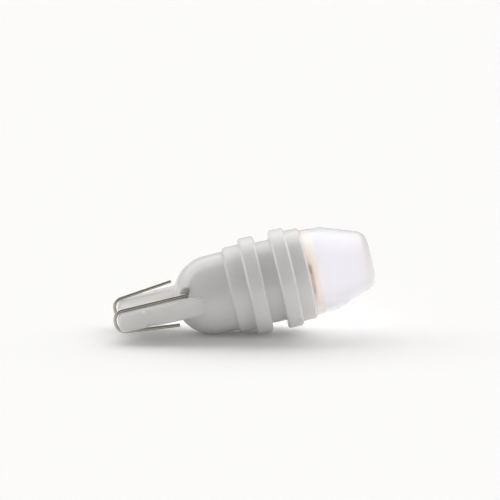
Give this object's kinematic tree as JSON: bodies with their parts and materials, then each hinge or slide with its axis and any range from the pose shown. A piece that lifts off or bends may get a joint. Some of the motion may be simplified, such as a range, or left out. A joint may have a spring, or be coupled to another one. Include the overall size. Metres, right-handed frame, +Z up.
{
  "type": "wedge base led bulb",
  "caption": "Capless 12 V led bulb with a flat wedge base, two bent contact wires, a glossy ringed ceramic body and a frosted tapered lens, lying on its side.",
  "frame": {"origin": "on the floor, under the middle of the bulb's length as it lies", "axes": "+X from the wedge base towards the lens, +Y across the wedge's width, +Z up; the bulb's own axis is tilted up towards the lens by 12.6 degrees"},
  "size_m": [0.0311, 0.0118, 0.0126],
  "materials": {
    "body_ceramic": "gloss",
    "lens_frosted": "satin",
    "wire_tinned": "satin",
    "board_white": "satin",
    "board_green": "satin",
    "phosphor": "satin",
    "chip_dark": "matte"
  },
  "bodies": {
    "root": {"bulb_body": "body_ceramic", "lens": "lens_frosted", "contact_wire_near": "wire_tinned", "contact_wire_far": "wire_tinned", "led_board": "board_white", "phosphor_layer": "phosphor", "led_resistor_1": "chip_dark", "led_resistor_2": "chip_dark", "driver_board": "board_green", "bridge_rectifier": "chip_dark", "dropper_resistor_1": "chip_dark", "dropper_resistor_2": "chip_dark"}
  },
  "joints": []
}
